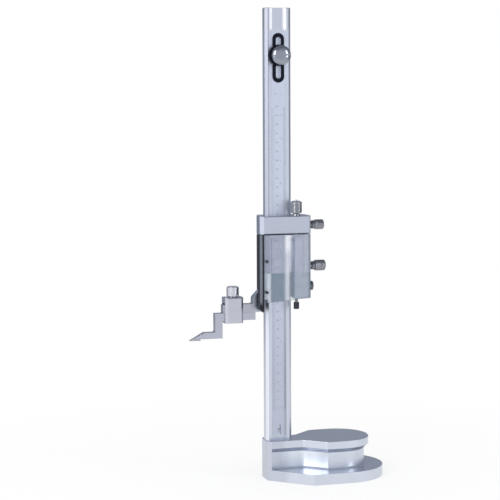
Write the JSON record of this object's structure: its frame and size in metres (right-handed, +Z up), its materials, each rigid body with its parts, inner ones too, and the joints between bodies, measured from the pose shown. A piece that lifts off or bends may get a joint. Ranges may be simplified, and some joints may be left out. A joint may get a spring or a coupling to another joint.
{
  "type": "vernier height gauge",
  "caption": "Vernier height gauge: rectangular column on a grooved base, slider with clear magnifying cover, fine-feed block above and a clamped cranked scriber.",
  "frame": {"origin": "on the lapped underside of the base, below the middle of the column", "axes": "+Z up along the column; -Y out of the graduated face; the base runs back towards +X and the scriber points to -X"},
  "size_m": [0.2257, 0.104, 0.53],
  "materials": {
    "base_steel": "satin ground",
    "column_steel": "satin ground",
    "rule_steel": "matt chrome with black graduations",
    "slider_steel": "satin ground",
    "black_oxide": "semi-matt black",
    "bright_steel": "polished",
    "knurled_steel": "satin, straight knurls",
    "screw_steel": "turned",
    "scriber_steel": "ground",
    "hard_metal": "lapped hard metal",
    "clear_plastic": "clear, polished",
    "brass": "turned"
  },
  "bodies": {
    "stand": {"base": "base_steel", "column": "column_steel", "column_screws": "screw_steel", "scale_guide_screw": "screw_steel"},
    "rule": {"main_scale": "rule_steel", "scale_link": "black_oxide"},
    "rule_lock": {"scale_lock_screw": "bright_steel", "scale_lock_washer": "black_oxide"},
    "carriage": {"fine_adjust_block": "slider_steel", "fine_clamp_pad": "brass"},
    "fine_knob": {"fine_adjust_screw": "knurled_steel", "fine_screw_collar": "screw_steel", "fine_screw_nut": "bright_steel"},
    "fine_clamp_knob": {"fine_clamp_screw": "knurled_steel"},
    "slider": {"slider_frame": "slider_steel", "slider_back_plate": "slider_steel", "back_plate_screws": "screw_steel", "gib_strip": "screw_steel", "gib_lock_screw": "bright_steel", "gib_grub_screw": "screw_steel", "side_guard": "black_oxide", "vernier_left": "rule_steel", "vernier_right": "rule_steel", "vernier_screws": "screw_steel", "magnifier": "clear_plastic", "magnifier_screws": "screw_steel"},
    "slider_clamp_knob": {"slider_clamp_screw": "knurled_steel"},
    "clamp": {"scriber_clamp": "scriber_steel", "scriber_clamp_pad": "screw_steel"},
    "clamp_knob": {"scriber_clamp_screw": "knurled_steel"},
    "scribing_jaw": {"scriber": "scriber_steel", "scriber_tip": "hard_metal"}
  },
  "joints": [
    {"name": "rule_adjust", "type": "slide", "parent": "stand", "child": "rule", "axis": [0, 0, 1], "range_m": [-0.004, 0.004]},
    {"name": "rule_lock_turn", "type": "hinge", "parent": "stand", "child": "rule_lock", "pos_m": [0, -0.0081, 0.4775], "axis": [0, -1, 0], "range_deg": [0, 360]},
    {"name": "height_slide", "type": "slide", "parent": "stand", "child": "carriage", "axis": [0, 0, 1], "range_m": [-0.1585, 0.1385]},
    {"name": "fine_clamp_turn", "type": "hinge", "parent": "carriage", "child": "fine_clamp_knob", "pos_m": [0.0333, -0.0015, 0.2879], "axis": [1, 0, 0], "range_deg": [0, 360]},
    {"name": "fine_feed", "type": "slide", "parent": "carriage", "child": "slider", "axis": [0, 0, 1], "range_m": [-0.003, 0.0005]},
    {"name": "fine_knob_turn", "type": "hinge", "parent": "carriage", "child": "fine_knob", "pos_m": [0.017, -0.01795, 0.2995], "axis": [0, 0, 1], "range_deg": [-258, 1544]},
    {"name": "slider_clamp_turn", "type": "hinge", "parent": "slider", "child": "slider_clamp_knob", "pos_m": [0.0333, -0.0015, 0.2415], "axis": [1, 0, 0], "range_deg": [0, 360]},
    {"name": "clamp_slide", "type": "slide", "parent": "slider", "child": "clamp", "axis": [1, 0, 0], "range_m": [-0.0055, 0.008]},
    {"name": "clamp_knob_turn", "type": "hinge", "parent": "clamp", "child": "clamp_knob", "pos_m": [-0.052, 0, 0.213], "axis": [0, 0, 1], "range_deg": [0, 360]},
    {"name": "scriber_slide", "type": "slide", "parent": "clamp", "child": "scribing_jaw", "axis": [1, 0, 0], "range_m": [-0.012, 0.001]}
  ],
  "couplings": [
    {"joint": "fine_knob_turn", "follows": "fine_feed", "rad_per_m": -8976}
  ]
}
